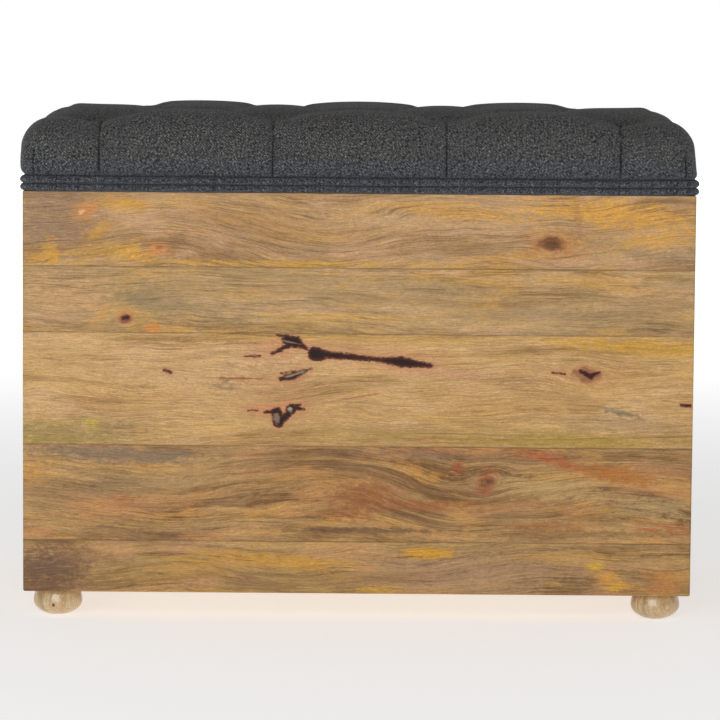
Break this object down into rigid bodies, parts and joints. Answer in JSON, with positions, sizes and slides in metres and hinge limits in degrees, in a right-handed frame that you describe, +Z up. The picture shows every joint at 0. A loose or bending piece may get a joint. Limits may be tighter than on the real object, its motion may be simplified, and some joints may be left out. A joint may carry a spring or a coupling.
{
  "type": "storage bench",
  "caption": "Wooden storage box on bun feet with a deep-buttoned upholstered lid, double piping, butt hinges and a soft-close lid stay.",
  "frame": {"origin": "on the floor, under the middle of the box", "axes": "+Z up; +X to the right along the bench's long side; -Y out of the front, the hinges are at +Y"},
  "size_m": [0.6684, 0.4125, 0.502],
  "materials": {
    "box_wood": "clear satin lacquer over figured mango",
    "foot_wood": "clear satin lacquer over turned mango",
    "inner_wood": "raw sawn softwood",
    "plywood": "raw plywood",
    "zinc_steel": "bright zinc plate",
    "hinge_brass": "brushed brass",
    "stay_steel": "nickel plate",
    "stay_plastic": "moulded, matte",
    "lid_cloth": "woven charcoal cloth with light flecks",
    "button_cloth": "the cover's cloth",
    "piping_cloth": "the cover's cloth, cut on the bias",
    "lining_cloth": "black spun-bonded lining",
    "wadding": "polyester wadding",
    "foam": "polyurethane foam",
    "twine": "waxed twine"
  },
  "bodies": {
    "box": {"back_board_bottom": "box_wood", "back_board_lower": "box_wood", "back_board_middle": "box_wood", "back_board_top": "box_wood", "back_board_upper": "box_wood", "base_panel": "plywood", "cleat_back": "inner_wood", "cleat_front": "inner_wood", "cleat_left": "inner_wood", "cleat_right": "inner_wood", "corner_block_back_left": "inner_wood", "corner_block_back_right": "inner_wood", "corner_block_front_left": "inner_wood", "corner_block_front_right": "inner_wood", "foot_back_left": "foot_wood", "foot_back_right": "foot_wood", "foot_bolts": "zinc_steel", "foot_front_left": "foot_wood", "foot_front_right": "foot_wood", "foot_tee_nuts": "zinc_steel", "front_board_bottom": "box_wood", "front_board_lower": "box_wood", "front_board_middle": "box_wood", "front_board_top": "box_wood", "front_board_upper": "box_wood", "hinge_left_box_leaf": "hinge_brass", "hinge_left_pin": "hinge_brass", "hinge_right_box_leaf": "hinge_brass", "hinge_right_pin": "hinge_brass", "hinge_screws_box": "zinc_steel", "left_board_bottom": "box_wood", "left_board_lower": "box_wood", "left_board_top": "box_wood", "left_board_upper": "box_wood", "right_board_bottom": "box_wood", "right_board_lower": "box_wood", "right_board_top": "box_wood", "right_board_upper": "box_wood", "stay_housing": "stay_plastic", "stay_screws_box": "zinc_steel", "stay_spindle": "stay_steel"},
    "lid": {"lid_board": "plywood", "lid_lining": "lining_cloth", "foam_block": "foam", "wadding": "wadding", "cushion_cover": "lid_cloth", "piping_lower": "piping_cloth", "piping_upper": "piping_cloth", "buttons": "button_cloth", "button_ties": "twine", "button_staples": "zinc_steel", "hinge_left_lid_leaf": "hinge_brass", "hinge_right_lid_leaf": "hinge_brass", "hinge_screws_lid": "zinc_steel", "stay_lid_bracket": "stay_steel", "stay_lid_rivet": "stay_steel", "stay_screws_lid": "zinc_steel"},
    "stay_arm": {"stay_arm": "stay_steel", "stay_elbow_rivet": "stay_steel"},
    "stay_link": {"stay_link": "stay_steel"}
  },
  "joints": [
    {"name": "lid_hinge", "type": "hinge", "parent": "box", "child": "lid", "pos_m": [0, 0.2049, 0.421], "axis": [-1, 0, 0], "range_deg": [0, 85]},
    {"name": "stay_arm_pivot", "type": "hinge", "parent": "box", "child": "stay_arm", "pos_m": [0.298, 0.1449, 0.381], "axis": [-1, 0, 0], "range_deg": [0, 85]},
    {"name": "stay_link_pivot", "type": "hinge", "parent": "stay_arm", "child": "stay_link", "pos_m": [0.2964, -0.0251, 0.371], "axis": [1, 0, 0], "range_deg": [0, 85]}
  ],
  "couplings": [
    {"joint": "stay_arm_pivot", "follows": "lid_hinge", "ratio": 1},
    {"joint": "stay_link_pivot", "follows": "lid_hinge", "ratio": 1}
  ]
}
